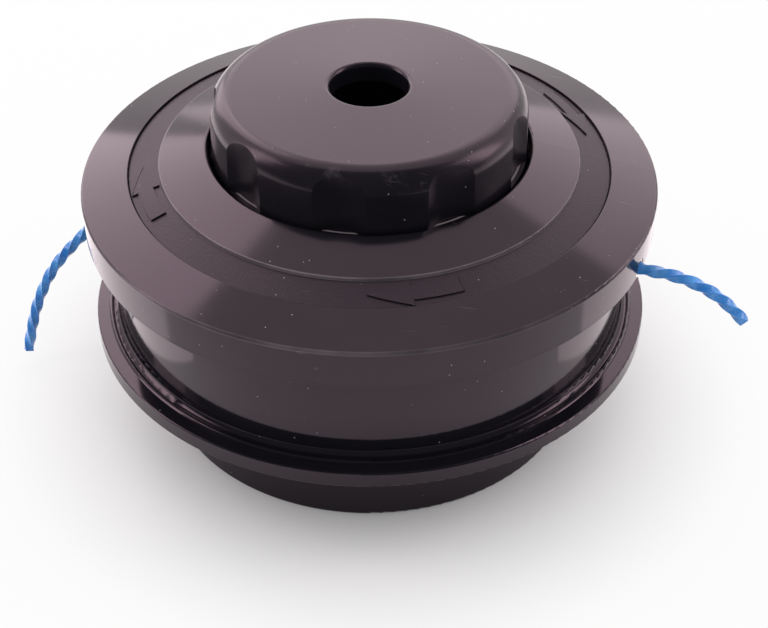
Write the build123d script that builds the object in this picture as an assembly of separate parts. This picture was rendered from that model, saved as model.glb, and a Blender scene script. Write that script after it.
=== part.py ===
from build123d import *
from math import acos, cos, degrees, pi, radians, sin, tan
import os

# A bump-feed trimmer head standing on its hub, knob up.
# Millimetres and degrees. The origin is the centre of the hub's lower face, and Z is the spindle axis.

# Housing: hub skirt, flange, drum and the post in the middle
hub_radius = 49.5
hub_wall = 3.2
hub_height = 23.7
hub_edge_round = 1.0
flange_inset = 0.3
flange_edge_height = 3.8
flange_slope_rise = 0.5
flange_round = 0.4
bead_offset = 2.0
bead_width = 1.2
bead_height = 0.55
foot_round = 2.4
floor_thickness = 3.3
floor_round = 1.5
drum_inset = 5.7
drum_wall = 3.7
drum_height = 26.9
rim_round = 0.5
post_radius = 13.6
post_rise = 6.0
post_round = 0.8
boss_radius = 14.4
boss_recess = 1.0
rib_count = 4
rib_phase = 45.0
rib_thickness = 2.6
rib_recess = 4.0

# Drive socket under the post, and the nut that takes the gearbox stud
socket_flats = 17.2
socket_depth = 28.0
web_thickness = 4.0
stud_clearance_radius = 4.3
nut_flats = 13.0
nut_height = 6.5
nut_bore_radius = 3.4
nut_chamfer = 0.6
nut_fit = 0.1
well_radius = 8.8

# Cap: cone, recessed ring, outer band and the skirt that screws into the drum
cap_radius = 65.0
cap_cone_angle = 16.3
cap_wall = 2.7
cap_edge_round = 0.6
band_height = 9.6
band_draft = 0.2
band_wall = 2.4
lip_height = 1.4
lip_step = 0.3
seat_gap = 0.2
ring_inset = 10.75
ring_width = 6.9
ring_depth = 0.6
ring_round = 0.2
skirt_wall = 3.0
skirt_depth = 8.6
thread_room = 1.4
collar_wall = 1.8
collar_drop = 3.0
channel_rib_count = 16
channel_rib_thickness = 1.6

# Line eyelets, one each side of the cap
exit_angles = {"right": -25.0, "left": 155.0}
eyelet_above_seat = 2.6
eyelet_radius = 2.1
eyelet_wall = 0.5
eyelet_fit = 0.05
eyelet_inset = 0.1
eyelet_boss_width = 8.0

# Knob
knob_radius = 35.4
knob_gap = 0.8
knob_rise = 14.3
knob_dome = 1.2
knob_draft = 0.3
knob_edge_round = 5.0
knob_skirt_round = 0.6
knob_wall = 3.8
knob_roof = 3.2
knob_inner_round = 2.5
knob_hole_radius = 8.7
knob_hole_round = 1.0
scallop_count = 9
scallop_phase = -20.0
scallop_radius = 14.5
scallop_depth = 1.8
scallop_round = 1.2
scallop_margin = 0.05
scallop_ledge_drop = 1.5
sleeve_wall = 2.2
sleeve_drop = 14.0

# Spool, with the stop lugs above and below it
press_travel = 7.0
bottom_gap = 0.5
lug_count = 4
lug_angle = 7.0
lug_play = 0.5
lug_height = 4.0
lug_gap = 0.6
lug_share = 0.525
lug_top_gap = 0.6
stop_gap = 0.3
spool_flange_gap = 0.8
spool_flange = 2.0
spool_edge_round = 0.6
spool_hub_radius = 24.0
bore_clearance = 0.35
spring_room_radius = 20.4
spring_room_height = 8.0
neck_radius = 19.0
neck_roof_gap = 0.1
snap_height = 0.5
snap_reach = 0.9
snap_drop = 8.0
snap_fit = 0.1
notch_count = 2
notch_width = 3.0
notch_depth = 6.0

# Spring and washer
spring_wire_radius = 1.0
spring_turn_count = 4
spring_seat_gap = 0.1
washer_thickness = 1.0
washer_gap = 0.3

# Nylon line
line_radius = 1.2
line_layer_count = 4
line_gap = 0.3
line_joint_inset = 0.4
line_joint_gap = 0.1
lead_run = 6.1
bend_share = 0.45
line_points = {
    "right": [
        (53.3, -24.8, 53.35),
        (59.8, -27.9, 53.2),
        (65.1, -30.3, 53.8),
        (70.9, -32.7, 52.9),
        (76.7, -34.8, 50.0),
        (80.9, -36.0, 45.5),
    ],
    "left": [
        (-53.3, 24.8, 53.35),
        (-59.8, 27.9, 53.1),
        (-64.2, 29.4, 51.0),
        (-67.0, 28.6, 46.6),
        (-67.6, 25.4, 41.4),
        (-67.4, 20.8, 36.4),
        (-69.0, 16.4, 32.3),
        (-73.5, 14.8, 28.4),
        (-78.3, 13.0, 23.3),
        (-81.8, 10.6, 17.3),
        (-84.4, 8.0, 10.2),
        (-85.9, 5.4, 3.1),
    ],
}

# How far a cut runs past its face, and an added block into its wall
cut_overshoot = 1.0
root_depth = 1.0

# Heights and radii that follow from the sizes above
cone_slope = tan(radians(cap_cone_angle))
flange_radius = cap_radius - flange_inset
drum_radius = cap_radius - drum_inset
floor_top = hub_height + floor_thickness
drum_top = hub_height + drum_height
drum_inner_radius = drum_radius - drum_wall
cap_seat = drum_top + seat_gap
cap_edge = cap_seat + band_height
cap_hole_radius = knob_radius + knob_gap
collar_outer_radius = cap_hole_radius + collar_wall
skirt_outer_radius = drum_inner_radius - thread_room
skirt_inner_radius = skirt_outer_radius - skirt_wall
skirt_bottom = drum_top - skirt_depth
ring_outer_radius = cap_radius - ring_inset
ring_inner_radius = ring_outer_radius - ring_width
eyelet_height = cap_seat + eyelet_above_seat
spool_radius = skirt_inner_radius - spool_flange_gap
lug_inner_radius = collar_outer_radius + lug_gap
lug_outer_radius = lug_inner_radius + (spool_radius - lug_inner_radius) * lug_share


def cone_height(radius):
    """Height of the cap's outer cone at a radius."""
    return cap_edge + (cap_radius - radius) * cone_slope


def cone_underside(radius):
    """Height of the cap's inner cone at a radius."""
    return cone_height(radius) - cap_wall / cos(radians(cap_cone_angle))


spool_bottom = floor_top + lug_height + bottom_gap + press_travel
spool_top = cone_underside(lug_outer_radius) - lug_top_gap - lug_height
chamber_bottom = spool_bottom + spool_flange
chamber_top = spool_top - spool_flange
knob_top = cone_height(cap_hole_radius) + knob_rise
knob_ceiling = knob_top - knob_dome - knob_roof
neck_top = knob_ceiling - neck_roof_gap
snap_level = neck_top - snap_drop
bore_radius = post_radius + bore_clearance
post_top = spool_top + post_rise
web_bottom = boss_recess + socket_depth
web_top = web_bottom + web_thickness
well_floor = web_top + nut_height + nut_fit
washer_top = spool_bottom + spring_room_height
spring_radius = (post_radius + spring_room_radius) / 2
winding_radius = spool_hub_radius + 2 * line_radius * line_layer_count
line_joint_radius = skirt_inner_radius + line_joint_inset
lead_corner_radius = line_joint_radius - lead_run
shortest_run = 1e-4


def outline(*corners):
    """Closed face in the XZ plane. A corner is (radius, height) or (radius, height, rounding)."""
    edges = []
    starts = []
    ends = []
    count = len(corners)
    for index, corner in enumerate(corners):
        here = Vector(corner[0], 0, corner[1])
        rounding = corner[2] if len(corner) > 2 else 0
        if not rounding:
            starts.append(here)
            ends.append(here)
            continue
        before = corners[index - 1]
        after = corners[(index + 1) % count]
        to_before = (Vector(before[0], 0, before[1]) - here).normalized()
        to_after = (Vector(after[0], 0, after[1]) - here).normalized()
        half = radians(to_before.get_angle(to_after)) / 2
        bisector = (to_before + to_after).normalized()
        start = here + to_before * (rounding / tan(half))
        end = here + to_after * (rounding / tan(half))
        middle = here + bisector * (rounding / sin(half) - rounding)
        edges.append(Edge.make_three_point_arc(start, middle, end))
        starts.append(start)
        ends.append(end)
    for index in range(count):
        run_start = ends[index]
        run_end = starts[(index + 1) % count]
        if (run_end - run_start).length > shortest_run:
            edges.append(Edge.make_line(run_start, run_end))
    return Face(Wire(edges))


def turned(*corners):
    """Solid of revolution about Z."""
    return Solid.revolve(outline(*corners), 360, Axis.Z)


def lug(bottom, top, angle):
    """Stop lug of the spool, the cap or the floor: a short piece of a ring, centred on an angle."""
    face = outline(
        (lug_inner_radius, bottom),
        (lug_outer_radius, bottom),
        (lug_outer_radius, top),
        (lug_inner_radius, top),
    )
    return Solid.revolve(face, lug_angle, Axis.Z).rotate(Axis.Z, angle - lug_angle / 2)


def radial_block(inner, outer, width, bottom, top, angle):
    """Upright block from one radius to another, turned to an angle."""
    block = Box(outer - inner, width, top - bottom, align=(Align.MIN, Align.CENTER, Align.MIN))
    return (Pos(inner, 0, bottom) * block).rotate(Axis.Z, angle)


def hexagon(flats, bottom, top):
    """Upright hexagonal prism across its flats."""
    face = Plane.XY.offset(bottom) * RegularPolygon(flats / 2, 6, major_radius=False)
    return extrude(face, amount=top - bottom, dir=(0, 0, 1))


def radial_rod(radius, inner, outer, angle):
    """Round rod at the eyelets' height, from one radius to another."""
    rod = Pos(inner, 0, eyelet_height) * Rot(0, 90, 0) * Cylinder(
        radius, outer - inner, align=(Align.CENTER, Align.CENTER, Align.MIN)
    )
    return rod.rotate(Axis.Z, angle)


def polar(radius, angle, height):
    """Point at a radius, an angle and a height."""
    return Vector(radius * cos(radians(angle)), radius * sin(radians(angle)), height)


def spread(count, phase=0.0):
    """Evenly spaced angles, from a phase."""
    return [phase + index * 360 / count for index in range(count)]


def make_housing():
    """Hub skirt, flange, drum, floor and post, moulded as one."""
    flange_foot = hub_height + flange_edge_height + flange_slope_rise
    bead_centre = drum_radius + bead_offset
    hub_inner = hub_radius - hub_wall
    body = turned(
        (hub_radius, 0, hub_edge_round),
        (hub_radius, hub_height, flange_round),
        (flange_radius, hub_height, flange_round),
        (flange_radius, hub_height + flange_edge_height, flange_round),
        (bead_centre + bead_width / 2, flange_foot),
        (bead_centre, flange_foot + bead_height, bead_height),
        (bead_centre - bead_width / 2, flange_foot),
        (drum_radius, flange_foot, min(foot_round, bead_offset - bead_width / 2)),
        (drum_radius, drum_top, rim_round),
        (drum_inner_radius, drum_top, rim_round),
        (drum_inner_radius, floor_top, floor_round),
        (post_radius, floor_top, floor_round),
        (post_radius, post_top, post_round),
        (well_radius, post_top, post_round),
        (well_radius, well_floor),
        (stud_clearance_radius, well_floor),
        (stud_clearance_radius, boss_recess),
        (boss_radius, boss_recess, hub_edge_round),
        (boss_radius, hub_height),
        (hub_inner, hub_height),
        (hub_inner, 0, hub_edge_round),
    )
    for angle in spread(rib_count, rib_phase):
        body += radial_block(
            boss_radius - hub_wall / 2,
            hub_inner + hub_wall / 2,
            rib_thickness,
            rib_recess,
            hub_height + floor_thickness / 2,
            angle,
        )
    body -= hexagon(socket_flats, boss_recess - cut_overshoot, web_bottom)
    body -= hexagon(nut_flats + 2 * nut_fit, web_top, well_floor + cut_overshoot)
    half_step = 180 / lug_count
    for angle in spread(lug_count, half_step + lug_angle + lug_play):
        body += lug(floor_top - root_depth, floor_top + lug_height, angle)
    return body


def make_stud_nut():
    """Hexagon nut pressed into the pocket of the post."""
    nut = hexagon(nut_flats, web_top, web_top + nut_height)
    corner = nut_flats / 2 / cos(radians(30))
    nut &= turned(
        (0, web_top),
        (corner - nut_chamfer, web_top),
        (corner, web_top + nut_chamfer),
        (corner, web_top + nut_height - nut_chamfer),
        (corner - nut_chamfer, web_top + nut_height),
        (0, web_top + nut_height),
    )
    bore = Cylinder(
        nut_bore_radius, nut_height + 2 * cut_overshoot, align=(Align.CENTER, Align.CENTER, Align.MIN)
    )
    return nut - Pos(0, 0, web_top - cut_overshoot) * bore


def make_spring():
    """Open coil between the floor and the washer."""
    bottom = floor_top + spring_wire_radius + spring_seat_gap
    top = washer_top - washer_gap - washer_thickness - spring_wire_radius - spring_seat_gap
    coil = Helix((top - bottom) / spring_turn_count, top - bottom, spring_radius, center=(0, 0, bottom))
    section = Plane(origin=coil @ 0, z_dir=coil % 0) * Circle(spring_wire_radius)
    return sweep(section, path=coil, is_frenet=True)


def make_thrust_washer():
    """Flat ring between the spring and the spool."""
    top = washer_top - washer_gap
    inner = bore_radius + washer_gap
    outer = spring_room_radius - washer_gap
    return turned(
        (inner, top - washer_thickness),
        (outer, top - washer_thickness),
        (outer, top),
        (inner, top),
    )


def make_spool():
    """Flanged drum with a neck for the knob and lugs on both faces."""
    body = turned(
        (spring_room_radius, spool_bottom),
        (spool_radius, spool_bottom, spool_edge_round),
        (spool_radius, chamber_bottom, spool_edge_round),
        (spool_hub_radius, chamber_bottom),
        (spool_hub_radius, chamber_top),
        (spool_radius, chamber_top, spool_edge_round),
        (spool_radius, spool_top, spool_edge_round),
        (neck_radius, spool_top),
        (neck_radius, snap_level - snap_reach),
        (neck_radius + snap_height, snap_level),
        (neck_radius, snap_level + snap_reach),
        (neck_radius, neck_top),
        (bore_radius, neck_top),
        (bore_radius, washer_top),
        (spring_room_radius, washer_top),
    )
    for angle in spread(lug_count):
        body += lug(spool_top - root_depth, spool_top + lug_height, angle)
        body += lug(spool_bottom - lug_height, spool_bottom + root_depth, angle)
    for angle in spread(notch_count, 180 / lug_count):
        for level in (spool_bottom, chamber_top):
            body -= radial_block(
                spool_radius - notch_depth,
                spool_radius + cut_overshoot,
                notch_width,
                level - cut_overshoot,
                level + spool_flange + cut_overshoot,
                angle,
            )
    return body


def make_winding():
    """Turns of line lying side by side on the spool."""
    room = chamber_top - chamber_bottom - 2 * line_gap
    turns = int(room / (2 * line_radius))
    pitch = room / turns
    first = chamber_bottom + line_gap + pitch / 2
    inner = spool_hub_radius + line_gap
    crest = winding_radius - line_radius
    section = outline(
        (inner, first - line_radius),
        (crest, first - line_radius),
        (crest, first + (turns - 1) * pitch + line_radius),
        (inner, first + (turns - 1) * pitch + line_radius),
    )
    for index in range(turns):
        section += Plane(origin=(crest, 0, first + index * pitch), z_dir=(0, -1, 0)) * Circle(line_radius)
    return Solid.revolve(section.face(), 360, Axis.Z)


def make_cap():
    """Cone with a recessed ring, an outer band, an inner skirt and the upper stops."""
    band_low = cap_radius - band_draft
    lip_radius = band_low - lip_step
    band_inner = lip_radius - band_wall
    collar_bottom = cone_underside(cap_hole_radius) - collar_drop
    body = turned(
        (cap_hole_radius, cone_height(cap_hole_radius), cap_edge_round),
        (ring_inner_radius, cone_height(ring_inner_radius), ring_round),
        (ring_inner_radius, cone_height(ring_inner_radius) - ring_depth, ring_round),
        (ring_outer_radius, cone_height(ring_outer_radius) - ring_depth),
        (ring_outer_radius, cone_height(ring_outer_radius), ring_round),
        (cap_radius, cap_edge, cap_edge_round),
        (band_low, cap_seat + lip_height),
        (lip_radius, cap_seat + lip_height),
        (lip_radius, cap_seat, lip_step),
        (band_inner, cap_seat),
        (band_inner, cone_underside(band_inner)),
        (skirt_outer_radius, cone_underside(skirt_outer_radius)),
        (skirt_outer_radius, skirt_bottom, rim_round),
        (skirt_inner_radius, skirt_bottom, rim_round),
        (skirt_inner_radius, cone_underside(skirt_inner_radius)),
        (collar_outer_radius, cone_underside(collar_outer_radius)),
        (collar_outer_radius, collar_bottom),
        (cap_hole_radius, collar_bottom),
    )
    channel_inner = skirt_outer_radius - skirt_wall / 2
    channel_outer = band_inner + band_wall / 2
    channel_top = cone_underside(channel_outer) + cap_wall / 2
    half_pitch = 180 / channel_rib_count
    for angle in spread(channel_rib_count, exit_angles["right"] + half_pitch):
        body += radial_block(
            channel_inner, channel_outer, channel_rib_thickness, cap_seat, channel_top, angle
        )
    for angle in exit_angles.values():
        body += radial_block(channel_inner, channel_outer, eyelet_boss_width, cap_seat, channel_top, angle)
        body -= radial_rod(
            eyelet_radius + eyelet_fit,
            skirt_inner_radius - cut_overshoot,
            cap_radius + cut_overshoot,
            angle,
        )
    for angle in spread(lug_count, lug_angle + lug_play):
        body += lug(spool_top + stop_gap, cone_underside(lug_outer_radius) + cap_wall / 2, angle)
    return body


def make_eyelet(angle):
    """Metal sleeve through the band and the skirt."""
    inner = skirt_inner_radius + eyelet_inset
    outer = cap_radius - band_draft - eyelet_inset
    sleeve = radial_rod(eyelet_radius, inner, outer, angle)
    hole = radial_rod(eyelet_radius - eyelet_wall, inner - cut_overshoot, outer + cut_overshoot, angle)
    return sleeve - hole


def make_knob():
    """Hollow knob snapped on the spool's neck, with scallops that end in a ledge."""
    top_radius = knob_radius - knob_draft
    inner = knob_radius - knob_wall
    sleeve_inner = neck_radius + snap_fit
    sleeve_outer = sleeve_inner + sleeve_wall
    sleeve_bottom = knob_ceiling - sleeve_drop
    edge_height = knob_top - knob_dome
    body = turned(
        (knob_hole_radius, knob_top, knob_hole_round),
        (top_radius, edge_height, knob_edge_round),
        (knob_radius, spool_top + stop_gap, knob_skirt_round),
        (inner, spool_top + stop_gap),
        (inner, knob_ceiling, knob_inner_round),
        (sleeve_outer, knob_ceiling),
        (sleeve_outer, sleeve_bottom),
        (sleeve_inner, sleeve_bottom),
        (sleeve_inner, snap_level - snap_reach),
        (sleeve_inner + snap_height, snap_level),
        (sleeve_inner, snap_level + snap_reach),
        (sleeve_inner, knob_ceiling),
        (knob_hole_radius, knob_ceiling),
    )
    plan = Circle(knob_radius + scallop_margin)
    centre = knob_radius - scallop_depth + scallop_radius
    for angle in spread(scallop_count):
        plan -= Rot(0, 0, angle) * Pos(centre, 0) * Circle(scallop_radius)
    plan = fillet(plan.vertices(), scallop_round)
    ledge = cone_height(cap_hole_radius) - scallop_ledge_drop
    envelope = extrude(Plane.XY.offset(ledge) * plan, amount=knob_top - ledge)
    envelope += Pos(0, 0, spool_top) * Cylinder(
        knob_radius + scallop_margin, ledge - spool_top, align=(Align.CENTER, Align.CENTER, Align.MIN)
    )
    return body & envelope.rotate(Axis.Z, scallop_phase)


def bend_radii(points):
    """Largest bend that each corner's two runs leave room for."""
    radii = []
    for before, here, after in zip(points, points[1:], points[2:]):
        turn = (here - before).get_angle(after - here)
        shorter = min((here - before).length, (after - here).length)
        radii.append(bend_share * shorter / tan(radians(turn / 2)))
    return radii


def make_line(points, label):
    """Round line along straight runs joined by arcs."""
    radii = bend_radii(points)
    path = FilletPolyline(*points, radius=radii)
    section = Plane(origin=path @ 0, z_dir=path % 0) * Circle(line_radius)
    tube = sweep(section, path=path)
    expected = pi * line_radius**2 * path.length
    print(label, "length", round(path.length, 1), "volume ratio", round(tube.volume / expected, 4))
    print(label, "radii", [round(radius, 1) for radius in radii])
    return tube


def make_lead(side):
    """Stretch from the winding to the eyelet's inner end, pulled straight."""
    angle = exit_angles[side]
    lie_radius = winding_radius + line_radius + line_gap
    reach = degrees(acos(lie_radius / lead_corner_radius))
    points = [
        polar(lie_radius, angle - reach, eyelet_height),
        polar(lead_corner_radius, angle, eyelet_height),
        polar(line_joint_radius - line_joint_gap, angle, eyelet_height),
    ]
    return make_line(points, "line_lead_" + side)


def make_line_end(side):
    """Stretch through the eyelet and out to the cut end."""
    start = polar(line_joint_radius, exit_angles[side], eyelet_height)
    points = [start] + [Vector(*point) for point in line_points[side]]
    return make_line(points, "line_end_" + side)


nodes = {
    "housing": make_housing(),
    "stud_nut": make_stud_nut(),
    "spring": make_spring(),
    "thrust_washer": make_thrust_washer(),
    "spool": make_spool(),
    "line_winding": make_winding(),
    "cap": make_cap(),
    "knob": make_knob(),
}
for side, exit_angle in exit_angles.items():
    nodes["eyelet_" + side] = make_eyelet(exit_angle)
    nodes["line_lead_" + side] = make_lead(side)
    nodes["line_end_" + side] = make_line_end(side)

os.makedirs("parts", exist_ok=True)
for name, shape in nodes.items():
    export_step(shape, "parts/" + name + ".step")
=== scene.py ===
import math

import bmesh
import bpy
from mathutils import Matrix, Vector


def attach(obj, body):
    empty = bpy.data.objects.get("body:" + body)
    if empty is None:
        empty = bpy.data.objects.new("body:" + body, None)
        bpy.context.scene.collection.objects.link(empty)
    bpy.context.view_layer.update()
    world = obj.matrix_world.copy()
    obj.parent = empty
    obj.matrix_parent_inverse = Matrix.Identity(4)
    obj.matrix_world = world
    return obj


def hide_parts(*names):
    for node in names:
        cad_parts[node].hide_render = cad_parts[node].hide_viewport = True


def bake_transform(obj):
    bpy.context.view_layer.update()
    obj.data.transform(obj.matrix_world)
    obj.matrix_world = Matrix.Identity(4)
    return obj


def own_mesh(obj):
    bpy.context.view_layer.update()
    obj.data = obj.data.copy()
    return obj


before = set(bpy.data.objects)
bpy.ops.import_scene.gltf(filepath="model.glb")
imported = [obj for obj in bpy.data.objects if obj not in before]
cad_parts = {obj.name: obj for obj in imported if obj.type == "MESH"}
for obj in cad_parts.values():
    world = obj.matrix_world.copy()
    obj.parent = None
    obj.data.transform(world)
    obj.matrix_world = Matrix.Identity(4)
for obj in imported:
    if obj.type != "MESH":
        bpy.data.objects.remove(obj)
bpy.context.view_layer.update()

scene = bpy.context.scene
mm = 0.001  # sizes below are millimetres times mm


# Small helpers

def addObject(name, data):
    made = bpy.data.objects.new(name, data)
    scene.collection.objects.link(made)
    return made


def polar(radius, angle, height):
    turn = math.radians(angle)
    return Vector((radius * math.cos(turn), radius * math.sin(turn), height))


def finishMesh(name, bm, sharpAngle=35.0):
    bmesh.ops.remove_doubles(bm, verts=bm.verts, dist=0.0005 * mm)
    bmesh.ops.recalc_face_normals(bm, faces=bm.faces)
    for face in bm.faces:
        face.smooth = True
    for edge in bm.edges:
        edge.smooth = edge.calc_face_angle(0.0) < math.radians(sharpAngle)
    mesh = bpy.data.meshes.new(name)
    bm.to_mesh(mesh)
    bm.free()
    return addObject(name, mesh)


# Shader maths: a Value stands for a socket, and sums of Values add Math nodes

class Value:
    def __init__(self, paint, socket):
        self.paint = paint
        self.socket = socket

    def maths(self, operation, *terms):
        return self.paint.node("ShaderNodeMath", {"operation": operation}, dict(enumerate(terms)))

    def __add__(self, other):
        return self.maths("ADD", self, other)

    def __mul__(self, other):
        return self.maths("MULTIPLY", self, other)

    def __gt__(self, other):
        return self.maths("GREATER_THAN", self, other)

    __radd__ = __add__
    __rmul__ = __mul__


class Paint:
    def __init__(self, owner):
        owner.use_nodes = True
        self.owner = owner
        self.tree = owner.node_tree
        self.tree.nodes.clear()

    def node(self, kind, settings=None, sockets=None, output=0):
        made = self.tree.nodes.new(kind)
        for key, setting in (settings or {}).items():
            setattr(made, key, setting)
        for key, value in (sockets or {}).items():
            if isinstance(value, Value):
                self.tree.links.new(value.socket, made.inputs[key])
            else:
                made.inputs[key].default_value = value
        return Value(self, made.outputs[output]) if output is not None else made

    def place(self):
        return self.node("ShaderNodeTexCoord", output="Object")

    def axes(self, vector):
        return [self.node("ShaderNodeSeparateXYZ", None, {0: vector}, part) for part in range(3)]

    def mapped(self, vector, scale, turn=(0.0, 0.0, 0.0)):
        return self.node("ShaderNodeMapping", None, {"Vector": vector, "Scale": scale, "Rotation": turn})

    def noise(self, vector, scale, detail=2.0, roughness=0.5):
        sockets = {"Vector": vector, "Scale": scale, "Detail": detail, "Roughness": roughness}
        return self.node("ShaderNodeTexNoise", None, sockets)

    def step(self, value, low, high):
        settings = {"interpolation_type": "SMOOTHSTEP"}
        return self.node("ShaderNodeMapRange", settings, {0: value, 1: low, 2: high})

    def mix(self, share, first, second):
        return self.node("ShaderNodeMix", {"data_type": "RGBA"}, {0: share, 6: first, 7: second}, 2)

    def bump(self, height, distance):
        return self.node("ShaderNodeBump", None, {"Height": height, "Distance": distance})

    def finish(self, sockets):
        shader = self.node("ShaderNodeBsdfPrincipled", None, sockets)
        self.node("ShaderNodeOutputMaterial", None, {"Surface": shader}, None)
        return self.owner


# Camera at the photograph's viewing angle

cameraSetup = {
    "target": Vector((3.28, 0.0, 18.78)) * mm,
    "distance": 403.96 * mm,
    "elevation": 38.552,
    "lens": 78.05,
}


def addCamera():
    data = bpy.data.cameras.new("camera")
    data.lens = cameraSetup["lens"]
    camera = addObject("camera", data)
    rise = math.radians(cameraSetup["elevation"])
    back = Vector((0.0, -math.cos(rise), math.sin(rise)))
    camera.location = cameraSetup["target"] + back * cameraSetup["distance"]
    camera.rotation_euler = (-back).to_track_quat("-Z", "Y").to_euler()
    scene.camera = camera


addCamera()
print("camera placed")


# Nylon line: a square section twisted to the left, along smooth routes

lineSetup = {
    "diameter": 2.4 * mm,
    "side": 2.1 * mm,
    "cornerRadius": 0.22 * mm,
    "cornerSteps": 4,
    "pitch": 17.2 * mm,
    "pointsPerRun": 16,
    "height": 53.4,
    "exitRadius": 51.6,
    "leadStart": 35.1,
    "leadCorner": 45.5,
    "leadEnd": 51.5,
    "leadReach": 39.5,
    "exits": {"right": -25.0, "left": 155.0},
    "routes": {
        "right": [
            (53.3, -24.8, 53.35), (59.8, -27.9, 53.2), (65.1, -30.3, 53.8), (70.9, -32.7, 52.9),
            (76.7, -34.8, 50.0), (80.9, -36.0, 45.5),
        ],
        "left": [
            (-53.3, 24.8, 53.35), (-59.8, 27.9, 53.1), (-64.2, 29.4, 51.0), (-67.0, 28.6, 46.6),
            (-67.6, 25.4, 41.4), (-67.4, 20.8, 36.4), (-69.0, 16.4, 32.3), (-73.5, 14.8, 28.4),
            (-78.3, 13.0, 23.3), (-81.8, 10.6, 17.3), (-84.4, 8.0, 10.2), (-85.9, 5.4, 3.1),
        ],
    },
    "lengths": {"right": 39.5 * mm, "left": 79.7 * mm},
}


def smoothRoute(corners):
    curve = bpy.data.curves.new("route", "CURVE")
    curve.dimensions = "3D"
    curve.resolution_u = lineSetup["pointsPerRun"]
    spline = curve.splines.new("NURBS")
    spline.points.add(len(corners) - 1)
    for point, corner in zip(spline.points, corners):
        point.co = (*(Vector(corner) * mm), 1.0)
    spline.order_u = 3
    spline.use_endpoint_u = True
    holder = bpy.data.objects.new("route", curve)
    mesh = bpy.data.meshes.new_from_object(holder)
    points = [vertex.co.copy() for vertex in mesh.vertices]
    bpy.data.objects.remove(holder)
    bpy.data.meshes.remove(mesh)
    return points


def squareProfile():
    radius, steps = lineSetup["cornerRadius"], lineSetup["cornerSteps"]
    reach = lineSetup["side"] / 2 - radius
    curve = bpy.data.curves.new("squareProfile", "CURVE")
    spline = curve.splines.new("POLY")
    spline.points.add(4 * (steps + 1) - 1)
    for index, point in enumerate(spline.points):
        corner, step = divmod(index, steps + 1)
        middle = math.pi / 4 + corner * math.pi / 2
        turn = middle + (step / steps - 0.5) * math.pi / 2
        away = reach * math.sqrt(2)
        x = away * math.cos(middle) + radius * math.cos(turn)
        y = away * math.sin(middle) + radius * math.sin(turn)
        point.co = (x, y, 0.0, 1.0)
    spline.use_cyclic_u = True
    return addObject("squareProfile", curve)


def twistLine(name, points):
    curve = bpy.data.curves.new(name, "CURVE")
    curve.dimensions = "3D"
    curve.twist_mode = "MINIMUM"
    curve.bevel_mode = "OBJECT"
    profile = squareProfile()
    curve.bevel_object = profile
    curve.use_fill_caps = True
    spline = curve.splines.new("POLY")
    spline.points.add(len(points) - 1)
    travelled = 0.0
    for index, point in enumerate(points):
        if index:
            travelled += (point - points[index - 1]).length
        spline.points[index].co = (*point, 1.0)
        spline.points[index].tilt = -math.tau * travelled / lineSetup["pitch"]
    holder = addObject(name + "Curve", curve)
    bpy.context.view_layer.update()
    evaluated = holder.evaluated_get(bpy.context.evaluated_depsgraph_get())
    mesh = bpy.data.meshes.new_from_object(evaluated)
    bpy.data.objects.remove(holder)
    bpy.data.objects.remove(profile)
    mesh.name = name
    mesh.polygons.foreach_set("use_smooth", [True] * len(mesh.polygons))
    return addObject(name, mesh)


lineEnds = {}
leads = {}
for side, angle in lineSetup["exits"].items():
    exitPoint = polar(lineSetup["exitRadius"], angle, lineSetup["height"])
    points = smoothRoute([exitPoint] + lineSetup["routes"][side])
    lineEnds[side] = twistLine("lineEnd" + side.title(), points)
    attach(lineEnds[side], "cap")
    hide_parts("line_end_" + side)
    inner = polar(lineSetup["leadCorner"], angle, lineSetup["height"])
    outer = polar(lineSetup["leadEnd"], angle, lineSetup["height"])
    start = polar(lineSetup["leadStart"], angle - lineSetup["leadReach"], lineSetup["height"])
    leads[side] = twistLine("lineLead" + side.title(), smoothRoute([start, inner, outer]))
    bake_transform(leads[side])
    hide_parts("line_lead_" + side)
print("line laid")


# Arrow marks, raised in the ring of the cap

arrowSetup = {
    "tail": (49.2, 52.45),
    "head": (47.8, 53.8),
    "tip": 50.7,
    "tailAngle": 11.8,
    "headAngle": 10.4,
    "tailEnds": {"Front": -68.0, "Right": 32.9, "Left": 207.4},
    "height": 0.3,
    "sink": 0.1,
    "bevel": 0.1,
    "cuts": 24,
    "ringAtEdge": 59.8,
    "capRadius": 65.0,
    "coneSlope": math.tan(math.radians(16.3)),
}


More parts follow.
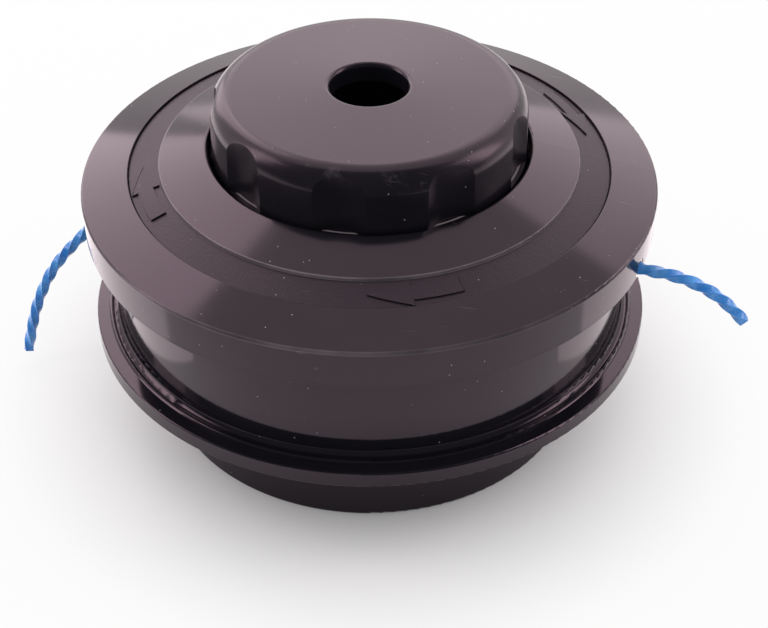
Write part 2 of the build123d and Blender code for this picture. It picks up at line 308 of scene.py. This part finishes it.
def makeArrow(name, tailEnd):
    shape = arrowSetup
    headBase = tailEnd - shape["tailAngle"]
    tip = headBase - shape["headAngle"]
    bm = bmesh.new()
    corners = [
        (tailEnd, shape["tail"][0]), (tailEnd, shape["tail"][1]), (headBase, shape["tail"][1]),
        (headBase, shape["head"][1]), (tip, shape["tip"]), (headBase, shape["head"][0]),
        (headBase, shape["tail"][0]),
    ]
    outline = [bm.verts.new((angle, radius, -shape["sink"])) for angle, radius in corners]
    face = bm.faces.new(outline)
    raised = bmesh.ops.extrude_face_region(bm, geom=[face])["geom"]
    top = [item for item in raised if isinstance(item, bmesh.types.BMVert)]
    bmesh.ops.translate(bm, verts=top, vec=(0.0, 0.0, shape["sink"] + shape["height"]))
    for index in range(1, shape["cuts"]):
        angle = tailEnd + (tip - tailEnd) * index / shape["cuts"]
        everything = bm.verts[:] + bm.edges[:] + bm.faces[:]
        bmesh.ops.bisect_plane(
            bm, geom=everything, plane_co=(angle, 0.0, 0.0), plane_no=(1.0, 0.0, 0.0), dist=1e-5
        )
    for vert in bm.verts:
        angle, radius, height = vert.co
        ring = shape["ringAtEdge"] + (shape["capRadius"] - radius) * shape["coneSlope"]
        vert.co = polar(radius, angle, ring + height) * mm
    rim = [edge for edge in bm.edges if edge.is_manifold and edge.calc_face_angle(0.0) > 1.0]
    bmesh.ops.bevel(
        bm, geom=rim, offset=shape["bevel"] * mm, offset_type="OFFSET", affect="EDGES", segments=2,
        profile=0.5, material=-1,
    )
    return finishMesh(name, bm, 50.0)


arrows = [makeArrow("arrow" + side, tailEnd) for side, tailEnd in arrowSetup["tailEnds"].items()]
for arrow in arrows:
    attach(arrow, "cap")
print("arrow marks raised")


# Spring, and the thread between the cap's skirt and the drum

coilSetup = {
    "radius": 17.0,
    "wire": 1.0,
    "bottom": 28.1,
    "rise": 16.0,
    "turns": 4,
    "stepsPerTurn": 48,
    "keep": 11.0 / 18.0,
    "floor": 27.0,
}

threadSetup = {
    "halfWidth": 1.1,
    "depth": 0.65,
    "sink": 0.1,
    "pitch": 4.0,
    "stepsPerTurn": 120,
    "skirt": {"wall": 54.2, "side": 1, "bottom": 43.6, "turns": 1.3, "start": 100.0},
    "drum": {"wall": 55.6, "side": -1, "bottom": 45.6, "turns": 0.8, "start": 100.0},
}


def helixSpin(bm, turns, rise, stepsPerTurn):
    steps = round(abs(turns) * stepsPerTurn)
    bmesh.ops.spin(
        bm, geom=bm.verts[:] + bm.edges[:], cent=(0.0, 0.0, 0.0), axis=(0.0, 0.0, 1.0),
        dvec=(0.0, 0.0, rise / steps), angle=math.tau * turns, steps=steps, use_merge=False,
    )
    bmesh.ops.holes_fill(bm, edges=bm.edges[:], sides=0)


def makeSpring():
    bm = bmesh.new()
    upright = Matrix.Translation((coilSetup["radius"] * mm, 0.0, coilSetup["bottom"] * mm)) @ Matrix.Rotation(
        math.pi / 2, 4, "X"
    )
    bmesh.ops.create_circle(bm, segments=16, radius=coilSetup["wire"] * mm, matrix=upright)
    helixSpin(bm, coilSetup["turns"], coilSetup["rise"] * mm, coilSetup["stepsPerTurn"])
    return finishMesh("springCoil", bm)


def makeThread(name, place):
    bm = bmesh.new()
    root = place["wall"] - place["side"] * threadSetup["sink"]
    crest = place["wall"] + place["side"] * threadSetup["depth"]
    half = threadSetup["halfWidth"]
    corners = [(root, -half), (crest, -half / 3), (crest, half / 3), (root, half)]
    verts = [bm.verts.new((radius * mm, 0.0, (place["bottom"] + rise) * mm)) for radius, rise in corners]
    for first, second in zip(verts, verts[1:] + verts[:1]):
        bm.edges.new((first, second))
    bmesh.ops.rotate(
        bm, verts=bm.verts, cent=(0.0, 0.0, 0.0), matrix=Matrix.Rotation(math.radians(place["start"]), 3, "Z")
    )
    rise = threadSetup["pitch"] * place["turns"] * mm
    helixSpin(bm, -place["turns"], rise, threadSetup["stepsPerTurn"])  # left-hand
    return finishMesh(name, bm)


spring = makeSpring()
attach(spring, "housing")
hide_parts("spring")
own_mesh(spring)
threads = {}
for part, body in (("skirt", "cap"), ("drum", "housing")):
    threads[part] = makeThread(part + "Thread", threadSetup[part])
    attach(threads[part], body)
print("spring and thread wound")


# Black moulded plastic

plasticSetup = {
    "colour": (0.0080, 0.0075, 0.0110, 1.0),
    "haze": (0.0165, 0.0150, 0.0195, 1.0),
    # the dust colour also serves as the colour of the painted edge highlights
    "dust": (0.62, 0.54, 0.57, 1.0),
    "tint": (1.0, 0.77, 0.88, 1.0),
    "index": 1.5,
    "speckCell": 2.6,
    "speckSize": 0.055,
    "speckShare": 0.6,
    "powderCell": 0.8,
    "powderSize": 0.16,
    "scuffTurns": (20.0, 75.0, 140.0),
    "scuffGrain": (45.0, 2200.0, 700.0),
    "scuffPatch": (48.0, 48.0, 48.0),
    "bumpDepth": 0.04,
}


def dustSpecks(paint, place, cell, size, share):
    sockets = {"Vector": place, "Scale": 1 / (cell * mm)}
    distance = paint.node("ShaderNodeTexVoronoi", None, sockets, "Distance")
    pick = Value(paint, distance.socket.node.outputs["Color"])
    return paint.step(distance, size, size * 0.5) * (pick > 1.0 - share)


def hairScuffs(paint, place, share):
    total = 0.0
    for angle in plasticSetup["scuffTurns"]:
        turn = (0.0, 0.0, math.radians(angle))
        grain = paint.noise(paint.mapped(place, plasticSetup["scuffGrain"], turn), 1.0, 0.0)
        patch = paint.noise(paint.mapped(place, plasticSetup["scuffPatch"], turn), 1.0, 1.0)
        total = total + paint.step(grain, 0.70, 0.80) * paint.step(patch, 0.64, 0.74)
    return total * share


def cylindrical(paint, place, shift=0.0):
    x, y, z = paint.axes(place)
    ahead = y + shift
    radius = paint.node("ShaderNodeMath", {"operation": "SQRT"}, {0: x * x + ahead * ahead})
    return radius, z


def plastic(name, setup):
    paint = Paint(bpy.data.materials.new(name))
    place = paint.place()
    radius, z = cylindrical(paint, place)
    share = plasticSetup["speckShare"] * setup["dust"]
    specks = dustSpecks(paint, place, plasticSetup["speckCell"], plasticSetup["speckSize"], share)
    smear = paint.noise(place, 30.0, 3.0, 0.6)
    gather = paint.step(paint.noise(place, 75.0, 2.0), 0.60, 0.78) * setup["dust"]
    powder = dustSpecks(paint, place, plasticSetup["powderCell"], plasticSetup["powderSize"], 0.35) * gather
    scuffs = hairScuffs(paint, place, setup["scuffs"])
    hazed = paint.step(smear, 0.35, 0.75) * setup["haze"]
    colour = paint.mix(hazed, plasticSetup["colour"], plasticSetup["haze"])
    rough = setup["roughness"] + paint.step(smear, 0.30, 0.80) * setup["smear"] + scuffs * 0.15
    height = scuffs * -0.5
    if "grain" in setup:
        area = setup["grain"](paint, radius, z)
        rough = rough + area * setup["grainRoughness"]
        height = height + area * paint.noise(place, 1500.0, 3.0) * setup["grainDepth"]
        height = height + setup["crease"](paint, radius, z) * setup["creaseDepth"]
    # Pale edge marks mixed in from the dust colour: real wear on the knob's top edge, and painted highlights
    # on the cap's edges and the knob's ledges.
    if "edgeWearAndHighlight" in setup:
        edgeWearAndHighlightShare = setup["edgeWearAndHighlight"](paint, place, radius, z)
        colour = paint.mix(edgeWearAndHighlightShare, colour, plasticSetup["dust"])
        rough = rough + edgeWearAndHighlightShare * 0.8
    colour = paint.mix(scuffs * 0.12 + powder * 0.5, colour, plasticSetup["dust"])
    colour = paint.mix(specks, colour, plasticSetup["dust"])
    normal = paint.bump(height + specks * 0.6, plasticSetup["bumpDepth"] * mm)
    return paint.finish({
        "Base Color": colour, "Roughness": rough + specks * 0.4 + powder * 0.3, "Normal": normal,
        "IOR": plasticSetup["index"], "Specular Tint": plasticSetup["tint"],
    })


def ringCrease(paint, radius, z):
    inside = paint.step(radius, 53.95 * mm, 54.20 * mm) * paint.step(radius, 54.45 * mm, 54.20 * mm)
    return inside * paint.step(z, 60.0 * mm, 61.0 * mm)


def ringGrain(paint, radius, z):
    inside = paint.step(radius, 47.2 * mm, 47.5 * mm) * paint.step(radius, 54.4 * mm, 54.1 * mm)
    return inside * paint.step(z, 60.0 * mm, 61.0 * mm)


# Painted highlight: thin pale lines on the cap's outer edge rounding and on the ring's inner edge stand in
# for edge glints, made patchy by noise.
def capPaintedEdgeHighlight(paint, place, radius, z):
    rim = paint.step(radius, 64.35 * mm, 64.60 * mm) * paint.step(z, 59.7 * mm, 59.95 * mm)
    ring = paint.step(radius, 46.95 * mm, 47.10 * mm) * paint.step(radius, 47.45 * mm, 47.38 * mm)
    highlightPatches = paint.step(paint.noise(place, 60.0, 3.0, 0.6), 0.30, 0.75)
    return (rim * 0.16 + ring * paint.step(z, 64.5 * mm, 65.0 * mm) * 0.22) * (highlightPatches * 0.6 + 0.4)


# Pale wear patches on the knob's top edge, plus a painted highlight: a thin pale line on each scallop's ledge
# stands in for a glint.
def knobWearAndLedgeHighlight(paint, place, radius, z):
    edge = paint.step(radius, 30.5 * mm, 33.2 * mm) * paint.step(z, 77.5 * mm, 79.5 * mm)
    patch = paint.noise(place, 90.0, 4.0, 0.7)
    ledgeHighlight = paint.step(z, 67.20 * mm, 67.28 * mm) * paint.step(z, 67.46 * mm, 67.38 * mm)
    ledgeHighlight = ledgeHighlight * paint.step(radius, 33.8 * mm, 33.95 * mm) * paint.step(radius, 34.4 * mm, 34.25 * mm)
    return edge * paint.step(patch, 0.56, 0.70) * 0.08 + ledgeHighlight * 0.5


capBlack = plastic("capBlack", {
    "roughness": 0.10, "smear": 0.05, "haze": 0.5, "dust": 0.9, "scuffs": 0.8,
    "grain": ringGrain, "grainRoughness": 0.36, "grainDepth": 1.4, "crease": ringCrease, "creaseDepth": -3.0,
    "edgeWearAndHighlight": capPaintedEdgeHighlight,
})
knobBlack = plastic("knobBlack", {
    "roughness": 0.20, "smear": 0.08, "haze": 0.6, "dust": 1.0, "scuffs": 0.5, "edgeWearAndHighlight": knobWearAndLedgeHighlight,
})
housingBlack = plastic("housingBlack", {
    "roughness": 0.07, "smear": 0.03, "haze": 0.3, "dust": 0.8, "scuffs": 0.3,
})
spoolBlack = plastic("spoolBlack", {
    "roughness": 0.38, "smear": 0.08, "haze": 0.8, "dust": 0.3, "scuffs": 0.3,
})
print("plastics mixed")


# Metals and nylon

metalSetup = {
    "zinc": {"colour": (0.62, 0.62, 0.60, 1.0), "roughness": 0.32, "streak": (400.0, 400.0, 2500.0)},
    "springSteel": {"colour": (0.42, 0.42, 0.43, 1.0), "roughness": 0.26, "streak": (900.0, 900.0, 900.0)},
    "eyelet": {"colour": (0.75, 0.75, 0.76, 1.0), "roughness": 0.18, "streak": (600.0, 600.0, 600.0)},
}


def metal(name):
    setup = metalSetup[name]
    paint = Paint(bpy.data.materials.new(name))
    streaks = paint.noise(paint.mapped(paint.place(), setup["streak"]), 1.0, 3.0)
    dull = tuple(channel * 0.72 for channel in setup["colour"][:3]) + (1.0,)
    return paint.finish({
        "Base Color": paint.mix(streaks, dull, setup["colour"]), "Metallic": 1.0,
        "Roughness": setup["roughness"] + streaks * 0.14, "Normal": paint.bump(streaks, 0.01 * mm),
    })


nylonSetup = {
    "deep": (0.035, 0.23, 0.68, 1.0),
    "pale": (0.10, 0.38, 0.86, 1.0),
    "roughness": 0.16,
}


def nylon(name):
    paint = Paint(bpy.data.materials.new(name))
    place = paint.place()
    cloud = paint.noise(place, 260.0, 2.0)
    return paint.finish({
        "Base Color": paint.mix(paint.step(cloud, 0.3, 0.7), nylonSetup["deep"], nylonSetup["pale"]),
        "Roughness": nylonSetup["roughness"] + cloud * 0.12, "Normal": paint.bump(cloud, 0.03 * mm),
        "Subsurface Weight": 0.25, "Subsurface Scale": 0.8 * mm, "IOR": 1.53,
    })


zinc = metal("zinc")
springSteel = metal("springSteel")
eyeletMetal = metal("eyelet")
lineBlue = nylon("lineBlue")

finishes = {
    "cap": capBlack, "knob": knobBlack, "housing": housingBlack, "spool": spoolBlack, "stud_nut": zinc,
    "thrust_washer": zinc, "eyelet_left": eyeletMetal, "eyelet_right": eyeletMetal, "line_winding": lineBlue,
}
for node, finish in finishes.items():
    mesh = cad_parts[node].data
    mesh.materials.clear()
    mesh.materials.append(finish)
for piece, finish in (
    [(piece, lineBlue) for piece in [*lineEnds.values(), *leads.values()]]
    + [(arrow, capBlack) for arrow in arrows]
    + [(spring, springSteel), (threads["skirt"], capBlack), (threads["drum"], housingBlack)]
):
    piece.data.materials.append(finish)
print("finishes given")


# Floor, world and lamps

stageSetup = {
    "floorSize": 6.0,
    "floorColour": (0.86, 0.86, 0.86, 1.0),
    "floorGlow": 0.93,
    "seenGlow": (0.035, 0.10),
    "mirroredGlow": (0.068, 0.086),
    "shadeShift": 0.018,
    "mirroredWhite": (1.0, 0.93, 0.95, 1.0),
    "white": (1.0, 1.0, 1.0, 1.0),
    "ambient": 0.6,
    "lamps": {
        "backBox": {"turn": 84.0, "rise": 32.0, "size": (0.95, 0.62), "radiance": 1.45},
        "cornerBox": {"turn": 127.0, "rise": 32.0, "size": (0.34, 0.88), "radiance": 2.3},
        "leftBox": {"turn": 178.0, "rise": 32.0, "size": (0.30, 0.60), "radiance": 3.0},
        "rightBox": {"turn": 2.0, "rise": 32.0, "size": (0.30, 0.60), "radiance": 3.0},
    },
    "lampDistance": 0.9,
    "lampColour": (1.0, 0.84, 0.90),
    "aim": Vector((0.0, 0.0, 0.05)),
    # Cards seen only in reflections, lighting nothing: darkCard puts painted shade into the reflections
    # facing the front, and leftCard and rightCard put painted bright reflections on the sides of the drum and
    # band.
    "cards": {
        "darkCard": {
            "rows": [
                [(-1.5, -0.165, 0.0), (1.5, -0.165, 0.0)], [(-1.5, -0.45, 1.0), (1.5, -0.45, 1.0)],
                [(-1.5, 0.06, 1.2), (1.5, 0.06, 1.2)],
            ],
            "colour": (0.10, 0.10, 0.125, 1.0), "strength": 1.0,
        },
        "leftCard": {
            "rows": [
                [(-0.60, -0.05, 0.0005), (-0.60, 0.50, 0.0005)],
                [(-0.088, -0.05, 0.0005), (-0.075, 0.50, 0.0005)],
            ],
            "colour": (1.0, 0.90, 0.93, 1.0), "strength": 1.9,
        },
        "rightCard": {
            "rows": [
                [(0.088, -0.04, 0.0005), (0.075, 0.50, 0.0005)],
                [(0.60, -0.04, 0.0005), (0.60, 0.50, 0.0005)],
            ],
            "colour": (1.0, 0.90, 0.93, 1.0), "strength": 1.7,
        },
    },
}


def seenRays(paint):
    camera = paint.node("ShaderNodeLightPath", output="Is Camera Ray")
    outputs = camera.socket.node.outputs
    return camera, Value(paint, outputs["Is Glossy Ray"]) + Value(paint, outputs["Is Transmission Ray"])


def addFloor():
    bm = bmesh.new()
    bmesh.ops.create_grid(bm, x_segments=1, y_segments=1, size=stageSetup["floorSize"] / 2)
    floor = finishMesh("floor", bm)
    paint = Paint(bpy.data.materials.new("floorWhite"))
    place = paint.place()
    radius, _ = cylindrical(paint, place)
    ahead, _ = cylindrical(paint, place, stageSetup["shadeShift"])
    matt = paint.node("ShaderNodeBsdfDiffuse", None, {"Color": stageSetup["floorColour"]})
    camera, mirrored = seenRays(paint)
    tone = paint.mix(mirrored, stageSetup["white"], stageSetup["mirroredWhite"])
    glow = paint.node("ShaderNodeEmission", None, {"Color": tone, "Strength": 1.0})
    share = camera * paint.step(radius, *stageSetup["seenGlow"])
    # Rays mirrored off the head see the floor glow only outside a circle moved shadeShift to the front.
    # Inside it they see the floor's real shading, so the forward reach of the reflected shadow is painted
    # shade.
    share = share + mirrored * paint.step(ahead, *stageSetup["mirroredGlow"])
    mixed = paint.node("ShaderNodeMixShader", None, {0: share * stageSetup["floorGlow"], 1: matt, 2: glow})
    paint.node("ShaderNodeOutputMaterial", None, {"Surface": mixed}, None)
    floor.data.materials.append(paint.owner)


def addWorld():
    scene.world = bpy.data.worlds.new("studio")
    paint = Paint(scene.world)
    sockets = {"Color": stageSetup["white"], "Strength": stageSetup["ambient"]}
    dim = paint.node("ShaderNodeBackground", None, sockets)
    camera, mirrored = seenRays(paint)
    tone = paint.mix(mirrored, stageSetup["white"], stageSetup["mirroredWhite"])
    full = paint.node("ShaderNodeBackground", None, {"Color": tone, "Strength": 1.0})
    mixed = paint.node("ShaderNodeMixShader", None, {0: camera + mirrored, 1: dim, 2: full})
    paint.node("ShaderNodeOutputWorld", None, {"Surface": mixed}, None)


def addCard(name, setup):
    bm = bmesh.new()
    rows = [[bm.verts.new(corner) for corner in row] for row in setup["rows"]]
    for first, second in zip(rows, rows[1:]):
        bm.faces.new((*first, *reversed(second)))
    card = finishMesh(name, bm)
    paint = Paint(bpy.data.materials.new(name))
    glow = paint.node("ShaderNodeEmission", None, {"Color": setup["colour"], "Strength": setup["strength"]})
    paint.node("ShaderNodeOutputMaterial", None, {"Surface": glow}, None)
    card.data.materials.append(paint.owner)
    card.visible_camera = False
    card.visible_diffuse = False
    card.visible_shadow = False


def addLamp(name, setup):
    data = bpy.data.lights.new(name, "AREA")
    data.shape = "RECTANGLE"
    data.color = stageSetup["lampColour"]
    data.size, data.size_y = setup["size"]
    data.energy = setup["radiance"] * math.pi * data.size * data.size_y
    lamp = addObject(name, data)
    rise = math.radians(setup["rise"])
    away = polar(math.cos(rise), setup["turn"], math.sin(rise))
    lamp.location = stageSetup["aim"] + stageSetup["lampDistance"] * away
    lamp.rotation_euler = (stageSetup["aim"] - lamp.location).to_track_quat("-Z", "Y").to_euler()
    lamp.visible_camera = False


addFloor()
addWorld()
for name, setup in stageSetup["cards"].items():
    addCard(name, setup)
for name, setup in stageSetup["lamps"].items():
    addLamp(name, setup)
scene.view_settings.view_transform = "Standard"
print("stage lit")
